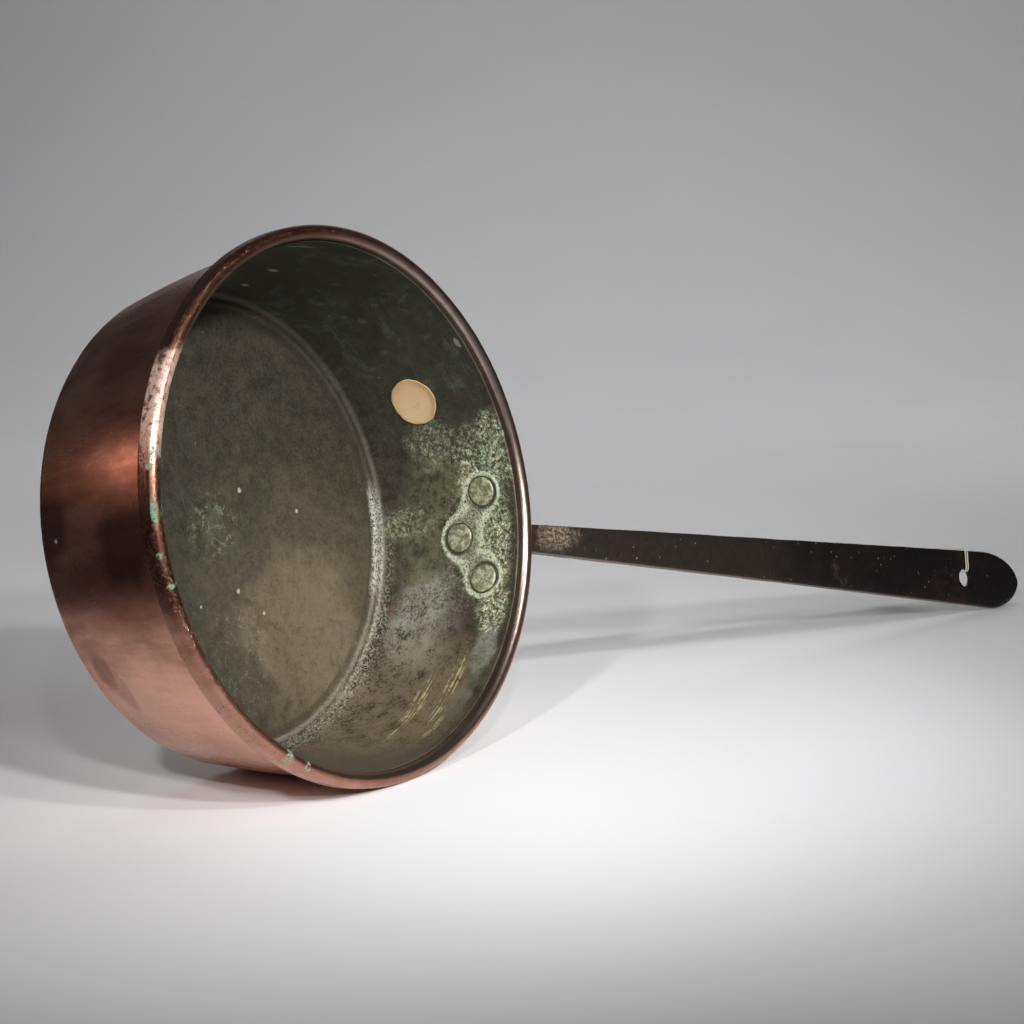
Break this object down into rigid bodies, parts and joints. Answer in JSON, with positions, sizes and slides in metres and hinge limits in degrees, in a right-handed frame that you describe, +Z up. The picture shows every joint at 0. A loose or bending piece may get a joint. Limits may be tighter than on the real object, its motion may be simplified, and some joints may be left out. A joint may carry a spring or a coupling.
{
  "type": "saucepan",
  "caption": "Round copper saucepan with a rolled rim, a tinned inside and a long flat iron handle, riveted on and pierced for hanging.",
  "frame": {"origin": "centre of the underside of the base", "axes": "+Z up out of the pan's mouth, -X along the handle"},
  "size_m": [0.5645, 0.22, 0.1375],
  "materials": {
    "copper": "worn, hand polished copper",
    "tin": "dull grey tin with verdigris",
    "iron": "dark forged iron with light rust",
    "manila_paper": "matte",
    "white_card": "matte",
    "string": "twisted cotton"
  },
  "bodies": {
    "root": {"pan_body": "copper", "rim_wire": "iron", "tin_lining": "tin", "handle": "iron", "rivet_upper_right": "copper", "rivet_upper_left": "copper", "rivet_lower": "copper", "paper_dot": "manila_paper", "tag_string": "string", "paper_tag": "white_card"}
  },
  "joints": []
}
